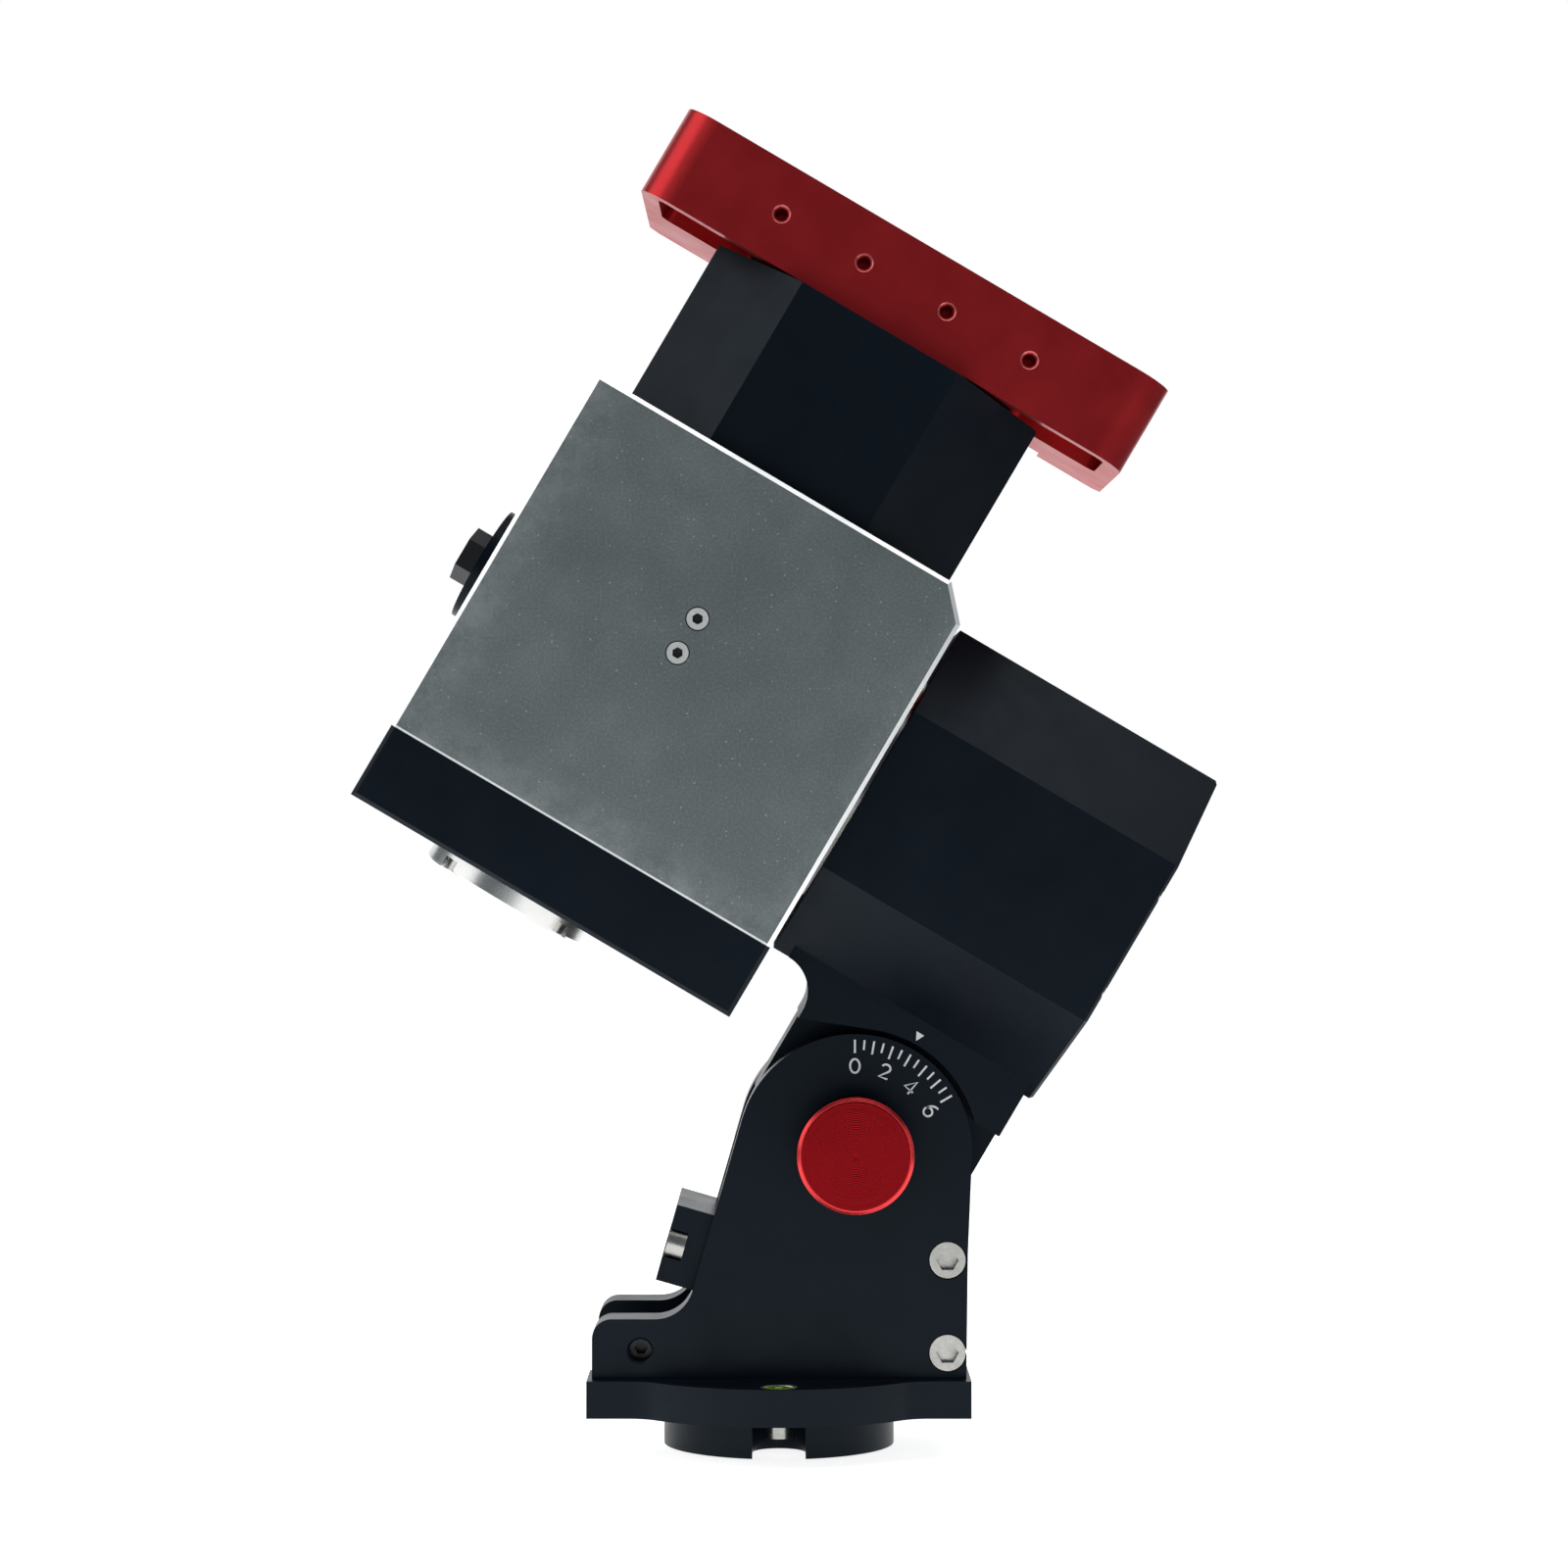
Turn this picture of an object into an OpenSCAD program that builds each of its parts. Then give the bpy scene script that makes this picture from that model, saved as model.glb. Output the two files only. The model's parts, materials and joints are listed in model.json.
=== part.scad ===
// Equatorial star-tracking mount head with two strain-wave drives.
// Row frame: origin on the tripod boss axis at its bottom face, +Z up,
// the altitude pivot along Y, the polar axis rising towards -X.

/* [Pose] */
// Latitude that the head is tilted to, in degrees
latitude = 30.5; // [25:0.5:35]

/* [Base] */
// Diameter of the tripod boss
boss_d = 60; // [56:1:64]
// Height of the tripod boss
boss_h = 10.5; // [10:0.5:12]
// Thickness of the base plate
plate_t = 9.5; // [9:0.5:12]
// Radius of the round part of the base plate
plate_r = 46; // [45:1:50]
// Half length of the base plate's straight part
plate_half_len = 49; // [48:0.1:52]
// Half width of the base plate's straight part
plate_half_wid = 31; // [28:0.5:32]
// Radius of the central tapped hole (M10 core)
tripod_tap_r = 4.25; // [4:0.05:4.5]

/* [Fork] */
// Clear gap between the two fork plates
fork_gap = 26.6; // [26:0.2:28]
// Thickness of one fork plate
fork_t = 12.7; // [12:0.1:14]
// X of the altitude pivot
pivot_x = 19.4; // [18:0.1:21]
// Z of the altitude pivot
pivot_z = 78; // [76:0.5:82]
// Radius of the fork's round top
fork_r = 30; // [28:0.5:30]
// Lean of the fork's front edge from vertical
fork_lean = 16.1; // [14:0.1:18]
// Top of the fork's front ears
ear_top = 35.2; // [34:0.1:38]

/* [Drive housings] */
// Width across the flats of an octagonal housing
oct_w = 94.4; // [92:1:98]
// Corner cut of an octagonal housing
oct_c = 24.6; // [22:0.5:26]
// Height of the polar axis above the altitude pivot
ra_height = 81.4; // [80:0.1:84]
// Distance from the altitude pivot back to the declination axis
dec_offset = 100.4; // [99:0.1:102]

/* [Body box] */
// Length of the declination body along the polar axis
box_len = 109.6; // [107:0.2:111]
// Depth of the declination body across the polar axis
box_depth = 104; // [100:1:106]
// Width of the bright edge chamfers
edge_c = 1.1; // [0.5:0.1:2]

/* [Saddle] */
// Length of the dovetail saddle
saddle_len = 141.2; // [130:0.2:150]
// Width of the dovetail saddle
saddle_wid = 80; // [78:1:84]
// Height of the dovetail saddle
saddle_h = 24; // [22:0.5:25]

/* [Hidden] */

$fn = 96;
eps = 0.01;
fit = 0.05;          // clearance of one part's round seat in another
gap = 0.4;           // air between parts that turn past each other
black = [0.11, 0.12, 0.14];
red = [0.55, 0.08, 0.1];
silver = [0.75, 0.76, 0.78];
grey = [0.42, 0.46, 0.46];
steel = [0.62, 0.63, 0.66];
brass = [0.72, 0.58, 0.3];

base_top = boss_h + plate_t;
plate_y = fork_gap / 2 + fork_t / 2;     // middle of a fork plate
fork_y = fork_gap / 2 + fork_t;          // outer face of the fork
pivot_bore_r = 5;
ear_x = -35.4;                           // azimuth screw axis
ear_z = 27.1;
azimuth_screw_r = 2.85;
azimuth_screw_len = 11;
azimuth_screw_out = 4;                   // how far it stands into the gap at rest
rear_screw_x = 43.1;
rear_screw_z = [26.5, 50.2];
front_block_mid = 11.8;                  // middle of the front block along the leaning edge

// Leaning front edge: point at the foot of the fillet and unit vectors along and across it
lean_u = [sin(fork_lean), cos(fork_lean)];
lean_n = [-cos(fork_lean), sin(fork_lean)];
lean_d = fork_r;                         // the edge is tangent to the round top
lean_foot = [pivot_x, pivot_z] + lean_d * lean_n;
function on_lean(s, w) = lean_foot + s * lean_u + w * lean_n;

// Drive layout measured along each axis from the driven face inwards
flange_seat = 1.2;                       // gap between the turning body and the housing
housing_wall = 6;
bearing_r_out = 40;
bearing_pitch_r = 35;
bearing_t = 11;
ball_r = 2;
spline_r_in = 31.4;
spline_t = 12;
flex_r_out = 30.9;
flex_r_in = 30;
cam_a = 29.4;
cam_b = 28.7;
motor_w = 42.3;
motor_len = 30;
opening_r = 32.4;

ra_front = -dec_offset + 54.9 + flange_seat;     // left face of the polar housing
ra_len = 76.75;
cover_t = 2.2;
box_right = -dec_offset + 54.9;
box_left = box_right - box_len;
cap_bottom = 14.7;
box_bottom = 34.8;
box_top = 136.4;
head_h = 46;
head_top = box_top + head_h;
saddle_gap = 0.75;
saddle_bottom = head_top + saddle_gap;
saddle_mid = -dec_offset;
weight_x = -110.4;                       // counterweight socket axis
weight_t = 6.2;                          // thickness of its flange
cube_wall = 5;

// Coordinates that tilt with the head: origin at the pivot, X along the polar axis
module head() translate([pivot_x, 0, pivot_z]) rotate([0, latitude, 0]) children();
// Drive coordinates: Z runs from the driven face into the housing
module ra_drive() head() translate([ra_front, 0, ra_height]) rotate([0, 90, 0]) children();
module dec_drive() head() translate([-dec_offset, 0, head_top]) rotate([180, 0, 0]) children();
module along_y(y0) translate([0, y0, 0]) rotate([-90, 0, 0]) children();

module tube(r_out, r_in, h) {
    difference() {
        cylinder(r = r_out, h = h);
        translate([0, 0, -1]) cylinder(r = r_in, h = h + 2);
    }
}

// Cap screw: axis -Z into the work, seat at z = 0, head above
module cap_screw(r, head_r, head_h, len, key) {
    difference() {
        cylinder(r = head_r, h = head_h);
        translate([0, 0, head_h * 0.45]) cylinder(d = key / cos(30), h = head_h, $fn = 6);
    }
    translate([0, 0, -len]) cylinder(r = r, h = len);
}

module set_screw(r, len, key) {
    difference() {
        cylinder(r = r, h = len);
        translate([0, 0, len - 4]) cylinder(d = key / cos(30), h = 5, $fn = 6);
    }
}

function octagon(w, c) = let (a = w / 2, b = w / 2 - c)
    [[a, -b], [a, b], [b, a], [-b, a], [-a, b], [-a, -b], [-b, -a], [b, -a]];

module octagon_prism(w, c, h) linear_extrude(h) polygon(octagon(w, c));

// ---------------------------------------------------------------- base

module base_plan() {
    fillet_r = 10;
    cx = sqrt(pow(plate_r + fillet_r, 2) - pow(plate_half_wid + fillet_r, 2));
    touch = [cx, plate_half_wid + fillet_r] * plate_r / (plate_r + fillet_r);
    circle(r = plate_r);
    square([2 * plate_half_len, 2 * plate_half_wid], center = true);
    for (sx = [-1, 1], sy = [-1, 1]) scale([sx, sy]) difference() {
        polygon([touch, [cx, plate_half_wid], [cx, plate_half_wid - 1], [touch[0] - 2, plate_half_wid - 1]]);
        translate([cx, plate_half_wid + fillet_r]) circle(r = fillet_r);
    }
}

base_screw_x = [-28.8, 0, 28.8];
base_screw_spots = [for (x = base_screw_x, s = [-1, 1]) [x, s * plate_y]];
function base_seat(x) = x == 0 ? 9.2 : boss_h + 5.2;

module azimuth_base() {
    notch_r = 6.8;
    notch_y = 18.8;
    notch_h = 9.2;
    peg_half_w = 10;
    color(black) difference() {
        union() {
            cylinder(d = boss_d, h = boss_h);
            translate([0, 0, boss_h]) linear_extrude(plate_t) difference() {
                base_plan();
                translate([-plate_half_len - 1, -peg_half_w]) square([22.7 - peg_half_w + 1, 2 * peg_half_w]);
                translate([-plate_half_len + 22.7 - peg_half_w, 0]) circle(r = peg_half_w);
            }
        }
        translate([0, 0, -1]) cylinder(r = tripod_tap_r, h = base_top + 2);
        translate([0, 0, -eps]) cylinder(r1 = tripod_tap_r + 0.8, r2 = tripod_tap_r, h = 0.8);
        for (s = [-1, 1]) {
            translate([0, s * notch_y, -1]) cylinder(r = notch_r, h = notch_h + 1);
            translate([-notch_r, s > 0 ? notch_y : -notch_y - 20, -1]) cube([2 * notch_r, 20, notch_h + 1]);
        }
        for (p = base_screw_spots) translate([p[0], p[1], 0]) {
            cylinder(r = 2.65, h = base_top + 1);
            if (p[0] != 0) cylinder(r = 4.75, h = base_seat(p[0]));
        }
        translate([0, -39.7, base_top - 5]) cylinder(r = 5 + fit, h = 6);
    }
}

module base_screws() {
    color(silver) for (p = base_screw_spots) translate([p[0], p[1], base_seat(p[0])])
        rotate([180, 0, 0]) cap_screw(2.5, 4.25, 5, 32 - base_seat(p[0]), 4);
}

module bubble_level_cup() {
    color(silver) translate([0, -39.7, base_top - 5]) difference() {
        cylinder(r = 5, h = 4.7);
        translate([0, 0, 1]) cylinder(r = 4.45, h = 6);
    }
}

module bubble_level_fluid() {
    color([0.55, 0.8, 0.1]) translate([0, -39.7, base_top - 4])
        rotate_extrude() polygon([[0, 0], [4.4, 0], [4.4, 3.4], [3.2, 3.65], [1.6, 3.8], [0, 3.85]]);
}

// Fork plate whose outer face is at y = 0 and inner face at y = fork_t
module fork_blank() {
    foot = -47.8;
    ear_r = 5;
    fillet_r = 10;
    // centre of the fillet: fillet_r above the ear top and fillet_r outside the leaning edge
    fillet_z = ear_top + fillet_r;
    fillet_s = (fillet_z - lean_foot[1] - fillet_r * lean_n[1]) / lean_u[1];
    fillet_c = on_lean(fillet_s, fillet_r);
    right = pivot_x + fork_r;
    difference() {
        translate([0, fork_t, 0]) rotate([90, 0, 0]) linear_extrude(fork_t)
            polygon([lean_foot, [pivot_x, pivot_z + 5], [right, pivot_z], [right - 1.1, 52],
                     [right - 1.5, base_top], [foot, base_top],
                     [foot, ear_top - ear_r], [foot + ear_r, ear_top], [fillet_c[0], ear_top],
                     on_lean(fillet_s, 0)]);
        translate([fillet_c[0], 0, fillet_c[1]]) along_y(-1) cylinder(r = fillet_r, h = fork_t + 2);
    }
    translate([pivot_x, 0, pivot_z]) along_y(0) cylinder(r = fork_r, h = fork_t);
    translate([foot + ear_r, 0, ear_top - ear_r]) along_y(0) cylinder(r = ear_r, h = fork_t);
}

module fork_plate() {
    difference() {
        fork_blank();
        translate([pivot_x, 0, pivot_z]) along_y(-1) cylinder(r = pivot_bore_r + fit, h = fork_t + 2);
        translate([ear_x, 0, ear_z]) along_y(-1) cylinder(r = azimuth_screw_r + fit, h = fork_t + 2);
        translate([ear_x, 0, ear_z]) along_y(-eps) cylinder(r1 = azimuth_screw_r + 0.6, r2 = azimuth_screw_r, h = 0.6);
        for (z = rear_screw_z) translate([rear_screw_x, 0, z]) {
            along_y(-1) cylinder(r = 4.9, h = 7.5);
            along_y(-1) cylinder(r = 3.2, h = fork_t + 2);
        }
        for (x = base_screw_x) translate([x, fork_t / 2, base_top - 1]) cylinder(r = 2.5 + fit, h = 14);
        translate([front_mid[0], fork_t / 2, front_mid[1]]) rotate([0, -90 + fork_lean, 0])
            translate([0, 0, -14]) cylinder(r = 2.5 + fit, h = 20);
    }
}

front_mid = on_lean(-35.9, 0);           // middle of the front block on the leaning edge

module fork_plate_near() color(black) translate([0, -fork_y, 0]) fork_plate();
module fork_plate_far() color(black) mirror([0, 1, 0]) translate([0, -fork_y, 0]) fork_plate();

// Block coordinates: origin on the leaning edge, Z outwards, X down the edge
module front_block_frame() translate([front_mid[0], 0, front_mid[1]]) rotate([0, -90 + fork_lean, 0]) children();

block_seat = 5;
module front_cross_block() {
    color(black) front_block_frame() difference() {
        translate([-10, -23, 0]) cube([20, 46, 9.8]);
        for (s = [-1, 1]) translate([0, s * plate_y, 0]) {
            translate([0, 0, block_seat]) cylinder(r = 5, h = 6);
            translate([0, 0, -1]) cylinder(r = 2.65, h = 12);
        }
        translate([0, 0, -1]) cylinder(r = 4 + fit, h = 12);
    }
}

module front_block_screws() {
    color(silver) front_block_frame() for (s = [-1, 1]) translate([0, s * plate_y, block_seat])
        cap_screw(2.5, 4.4, 4.6, 17, 4);
}

module rear_cross_block() {
    y = fork_gap / 2;
    color(black) difference() {
        translate([36, -y, base_top]) cube([pivot_x + fork_r - 38.2, 2 * y, 35]);
        translate([pivot_x, -y - 1, pivot_z]) rotate([-90, 0, 0]) cylinder(r = fork_r + 1, h = 2 * y + 2);
        for (z = rear_screw_z) translate([rear_screw_x, 0, z]) along_y(-y - 1) cylinder(r = 3 + fit, h = 2 * y + 2);
        translate([30, 0, 38.35]) rotate([0, 90, 0]) cylinder(r = 4 + fit, h = 30);
    }
}

module fork_plate_screws() {
    seat = fork_y - 6.5;
    color(silver) for (z = rear_screw_z, s = [-1, 1]) translate([rear_screw_x, s * seat, z])
        rotate([s > 0 ? -90 : 90, 0, 0]) cap_screw(3, 4.6, 6, 16, 5);
}

module pivot_bolt() {
    color(steel) translate([pivot_x, 0, pivot_z]) {
        along_y(-fork_y - 12) cylinder(r = pivot_bore_r, h = 2 * fork_y + 12);
        along_y(fork_y) difference() {
            cylinder(r = 9, h = 6.4);
            translate([0, 0, 2.5]) cylinder(d = 8 / cos(30), h = 6, $fn = 6);
        }
    }
}

module lock_washer() {
    color(steel) translate([pivot_x, 0, pivot_z]) along_y(-fork_y - 1.5) tube(12, pivot_bore_r + fit, 1.5);
}

module altitude_lock_knob() {
    knob_r = 14.8;
    color(red) translate([pivot_x, -fork_y - 1.6, pivot_z]) rotate([90, 0, 0]) difference() {
        rotate_extrude() polygon([[0, 0], [13.2, 0], [14, 0.8], [14, 2.6], [knob_r, 3.4], [knob_r, 11.4],
            [knob_r - 0.9, 12.3], [0, 12.3]]);
        translate([0, 0, -1]) cylinder(r = pivot_bore_r + fit, h = 11.9);
    }
}

module azimuth_screw() {
    color(steel) translate([ear_x, azimuth_screw_out - fork_gap / 2, ear_z]) rotate([90, 0, 0])
        set_screw(azimuth_screw_r, azimuth_screw_len, 3);
}
module azimuth_screw_near() azimuth_screw();
module azimuth_screw_far() mirror([0, 1, 0]) azimuth_screw();

module altitude_screw_front() {
    color(steel) front_block_frame() translate([0, 0, -0.5]) set_screw(4, 9.5, 4);
}
module altitude_screw_rear() {
    color(steel) translate([36.5, 0, 38.35]) rotate([0, 90, 0]) set_screw(4, 11.5, 4);
}

// ---------------------------------------------------------------- tilting head

bracket_half = 29.8;
bracket_clear_r = 31.5;
horn_v = 22;                              // bottom of the wide part's horns
tongue_half_w = 12.9;
knuckle_r = 29.4;
tail_r = 36;
tail_half = 6;
housing_low = ra_height - oct_w / 2;      // underside of the polar housing

// Wide upper part of the bracket in the plane across the pivot
module bracket_wide() {
    fillet_r = 10;
    top = housing_low + 4;
    horn_r = sqrt(pow(bracket_half, 2) + pow(horn_v, 2));
    relief = atan2(bracket_half, horn_v) - acos(bracket_clear_r / horn_r);
    relief_pt = bracket_clear_r * [-sin(relief), cos(relief)];
    difference() {
        union() {
            translate([-bracket_half, horn_v]) square([2 * bracket_half, top - horn_v]);
            translate([-bracket_half - fillet_r, housing_low - fillet_r]) square([fillet_r + 1, fillet_r + 4]);
        }
        circle(r = bracket_clear_r);
        translate([-bracket_half - fillet_r, housing_low - fillet_r]) circle(r = fillet_r);
        translate([-bracket_half - fillet_r - 1, horn_v - 1]) square([fillet_r + 1, housing_low - fillet_r - horn_v + 1]);
        polygon([[-bracket_half - eps, horn_v], relief_pt, [relief_pt[0], horn_v - 5], [-bracket_half - eps, horn_v - 5]]);
    }
}

bracket_screw_spots = [for (u = [-16, 16], y = [-9.5, 9.5]) [u, y]];
bracket_seat = housing_low + 3.2;

module tilt_bracket() {
    color(black) head() difference() {
        union() {
            translate([0, fork_y, 0]) rotate([90, 0, 0]) linear_extrude(2 * fork_y) bracket_wide();
            translate([0, tongue_half_w, 0]) rotate([90, 0, 0]) linear_extrude(2 * tongue_half_w) union() {
                circle(r = knuckle_r);
                translate([-bracket_half, 0]) square([2 * bracket_half, housing_low]);
                translate([-tail_half, -tail_r]) square([2 * tail_half, tail_r]);
            }
        }
        // seat that matches the underside of the octagonal housing
        translate([ra_front - 1, 0, ra_height]) rotate([0, 90, 0]) octagon_prism(oct_w, oct_c, ra_len + 2);
        along_y(-fork_y - 1) cylinder(r = 7 + fit, h = 2 * fork_y + 2);
        for (p = bracket_screw_spots) translate([p[0], p[1], housing_low - 12]) cylinder(r = 2.5 + fit, h = 14);
    }
}

module altitude_bushes() {
    color(brass) head() for (y0 = [-tongue_half_w, tongue_half_w - 9]) along_y(y0) tube(7, pivot_bore_r + fit, 9);
}

module bracket_screws() {
    color(silver) head() for (p = bracket_screw_spots) translate([p[0], p[1], bracket_seat])
        cap_screw(2.5, 4.25, 3.5, 15, 4);
}

// Octagonal housing with a round front opening; origin at the driven face, Z inwards
module housing_shell(len, front_wall) {
    difference() {
        octagon_prism(oct_w, oct_c, len);
        translate([0, 0, -1]) cylinder(r = opening_r, h = front_wall + 2);
        translate([0, 0, front_wall - gap]) cylinder(r = bearing_pitch_r + 0.2, h = 1);
        translate([0, 0, front_wall]) cylinder(r = bearing_r_out + fit, h = bearing_t + spline_t + 6);
        translate([0, 0, front_wall + bearing_t + spline_t + 4])
            octagon_prism(oct_w - 2 * housing_wall, oct_c - housing_wall * 0.586, len);
    }
}

ra_front_wall = 7;
dec_front_wall = 6;
cover_spots = [for (a = [0 : 90 : 270], s = [-14, 14]) [a, s]];

module ra_housing() {
    color(black) difference() {
        ra_drive() housing_shell(ra_len - cover_t, ra_front_wall);
        head() for (p = bracket_screw_spots) translate([p[0], p[1], housing_low - 1]) cylinder(r = 2.65, h = 9);
        ra_drive() for (p = cover_spots) rotate(p[0]) translate([44, p[1], ra_len - cover_t - 10])
            cylinder(r = 1.5 + fit, h = 12);
        head() for (p = bracket_screw_spots) translate([p[0], p[1], bracket_seat]) cylinder(r = 4.75, h = 8);
    }
}

power_spot = [22, -18];
data_spot = [22, 14];

module ra_rear_cover() {
    color(black) ra_drive() translate([0, 0, ra_len - cover_t]) difference() {
        hull() {
            octagon_prism(oct_w, oct_c, cover_t - 0.8);
            octagon_prism(oct_w - 1.6, oct_c - 0.5, cover_t);
        }
        for (p = cover_spots) rotate(p[0]) translate([44, p[1], 0]) {
            translate([0, 0, -1]) cylinder(r = 1.65, h = 6);
            translate([0, 0, cover_t - 1.5]) cylinder(r = 2.8, h = 6);
        }
        translate([power_spot[0], power_spot[1], -1]) cylinder(r = 5.6, h = 6);
        translate([power_spot[0], power_spot[1], cover_t - 1]) cylinder(r = 6.7, h = 6);
        translate([data_spot[0], data_spot[1], 1]) cube([12.4, 11.4, 8], center = true);
    }
}

module ra_cover_screws() {
    color(steel) ra_drive() for (p = cover_spots) rotate(p[0]) translate([44, p[1], ra_len - 1.5]) difference() {
        union() {
            cylinder(r = 2.6, h = 1.4);
            translate([0, 0, -8]) cylinder(r = 1.5, h = 8);
        }
        translate([0, 0, 0.5]) cylinder(d = 2 / cos(30), h = 2, $fn = 6);
    }
}

module power_socket() {
    color(black) ra_drive() translate([power_spot[0], power_spot[1], ra_len]) difference() {
        union() {
            translate([0, 0, -9]) cylinder(r = 5.5, h = 9);
            translate([0, 0, -1]) cylinder(r = 6.6, h = 1);
        }
        translate([0, 0, -7]) tube(2.75, 1.05, 9);
    }
}

module data_socket() {
    color(silver) ra_drive() translate([data_spot[0], data_spot[1], ra_len - 5.3]) difference() {
        cube([12, 11, 10.4], center = true);
        translate([0, 0, 2.5]) cube([10.4, 9.4, 8], center = true);
        translate([0, 0, 3]) cube([6, 3.2, 6], center = true);
    }
}

// ------------------------------------------------- strain-wave drive pieces, in drive coordinates

module bearing_outer_ring() {
    difference() {
        tube(bearing_r_out, bearing_pitch_r + 0.5, bearing_t);
        translate([0, 0, bearing_t / 2]) rotate_extrude() translate([bearing_pitch_r, 0]) circle(r = ball_r + 0.35);
    }
}
module bearing_inner_ring() {
    difference() {
        tube(bearing_pitch_r - 0.5, 27, bearing_t);
        translate([0, 0, bearing_t / 2]) rotate_extrude() translate([bearing_pitch_r, 0]) circle(r = ball_r + fit);
    }
}
module bearing_balls() {
    for (i = [0 : 23]) rotate(i * 15) translate([bearing_pitch_r, 0, bearing_t / 2]) sphere(r = ball_r, $fn = 32);
}
module circular_spline() {
    difference() {
        tube(bearing_r_out, spline_r_in, spline_t);
        for (a = [0 : 45 : 315]) rotate(a) translate([35.8, 0, -1]) cylinder(r = 1.65, h = spline_t + 2);
    }
}
// Thin cup: its closed end is bolted to the output flange through the inner ring
module flexspline(depth) {
    difference() {
        cylinder(r = flex_r_out - 4.2, h = 3);
        for (a = [0 : 60 : 300]) rotate(a) translate([20, 0, -1]) cylinder(r = 2.1, h = 8);
        translate([0, 0, -1]) cylinder(r = 8, h = 8);
    }
    translate([0, 0, 3]) difference() {
        cylinder(r = flex_r_out - 4.2, h = 3 + eps);
        translate([0, 0, -1]) cylinder(r = flex_r_out - 5.1, h = 6);
    }
    translate([0, 0, 6]) difference() {
        cylinder(r = flex_r_out, h = depth - 6);
        translate([0, 0, 0.9]) cylinder(r = flex_r_in, h = depth);
        translate([0, 0, -1]) cylinder(r = flex_r_out - 5.1, h = 6);
    }
}
// Oval cam on the motor shaft
module wave_generator(shaft_len) {
    cam_t = 7;
    difference() {
        linear_extrude(cam_t) polygon([for (i = [0 : 71]) [cam_a * cos(5 * i), cam_b * sin(5 * i)]]);
        for (a = [0 : 60 : 300]) rotate(a) translate([17, 0, -1]) cylinder(r = 5, h = cam_t + 2);
    }
    translate([0, 0, cam_t]) cylinder(r = 2.5, h = shaft_len);
}
module motor_plate() {
    difference() {
        tube(bearing_r_out, 11.4, 4);
        for (a = [45 : 90 : 315]) rotate(a) translate([21.9, 0, -1]) cylinder(r = 1.7, h = 6);
    }
}
module motor() {
    difference() {
        translate([-motor_w / 2, -motor_w / 2, 0]) cube([motor_w, motor_w, motor_len]);
        for (a = [45 : 90 : 315]) rotate(a) translate([motor_w * 0.66, -10, -1]) cube([10, 20, motor_len + 2]);
        translate([0, 0, -1]) cylinder(r = 2.5 + 0.08, h = 9);
        for (a = [45 : 90 : 315]) rotate(a) translate([21.9, 0, -1]) cylinder(r = 1.5, h = 5);
    }
}
module flange_holes(h) {
    for (a = [0 : 60 : 300]) rotate(a) translate([20, 0, -h]) cylinder(r = 2.1, h = 3 * h);
}
// Output disc: proud is how far it stands out of the housing towards the driven face
module output_flange(proud, depth) {
    difference() {
        union() {
            translate([0, 0, -proud]) cylinder(r = 32, h = proud + depth);
            translate([0, 0, depth]) cylinder(r = 27 - fit, h = boss_len);
        }
        flange_holes(40);
        translate([0, 0, -proud - 1]) cylinder(r = 9, h = 60);
    }
}

boss_len = bearing_t - 1.5;                // output disc's boss through the bearing
ra_flex_at = ra_front_wall + boss_len;
dec_flex_at = dec_front_wall + boss_len;
flex_depth = 14.5;
cam_at = 7.2;                            // cam above the closed end of the flexspline
plate_gap = 2;

module ra_bearing_outer_ring() color(steel) ra_drive() translate([0, 0, ra_front_wall]) bearing_outer_ring();
module ra_bearing_inner_ring() color(steel) ra_drive() translate([0, 0, ra_front_wall]) bearing_inner_ring();
module ra_bearing_balls() color(silver) ra_drive() translate([0, 0, ra_front_wall]) bearing_balls();
module ra_circular_spline() color(steel) ra_drive() translate([0, 0, ra_front_wall + bearing_t]) circular_spline();
module ra_flexspline() color(silver) ra_drive() translate([0, 0, ra_flex_at]) flexspline(flex_depth);
module ra_wave_generator() {
    color(brass) ra_drive() translate([0, 0, ra_flex_at + cam_at]) wave_generator(12.8);
}
ra_plate_at = ra_front_wall + bearing_t + spline_t + plate_gap;
module ra_motor_plate() color(black) ra_drive() translate([0, 0, ra_plate_at]) motor_plate();
module ra_motor() color(steel) ra_drive() translate([0, 0, ra_plate_at + 4]) motor();
module ra_output_flange() color(silver) ra_drive() output_flange(flange_seat, ra_front_wall);
module ra_flange_screws() {
    color(steel) ra_drive() for (a = [0 : 60 : 300]) rotate(a) translate([20, 0, -flange_seat - cube_wall])
        rotate([180, 0, 0]) cap_screw(2, 3.5, 4, 25, 3);
}

// ---------------------------------------------------------------- declination body

// Prism with chamfered rims, extruded along Z from 0
module rimmed_prism(h, c) {
    hull() {
        translate([0, 0, c]) linear_extrude(h - 2 * c) children();
        linear_extrude(h) offset(delta = -c) children();
    }
}

corner_u = 7.4;
corner_v = 8.2;
module box_outline() {
    polygon([[box_left, cap_bottom], [box_right, cap_bottom], [box_right, box_top - corner_v],
             [box_right - corner_u, box_top], [box_left, box_top]]);
}
module box_solid() {
    translate([0, box_depth / 2, 0]) rotate([90, 0, 0]) rimmed_prism(box_depth, edge_c) box_outline();
}
module slab(v0, v1) translate([-200, -100, v0]) cube([200, 200, v1 - v0]);

board_spots = [[-102.7, 86.4], [-102.7, 96.25]];
cap_screw_spots = [for (u = [box_left + 9, box_right - 9], y = [-43, 43]) [u, y]];
inner_half = box_depth / 2 - cube_wall;

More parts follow.
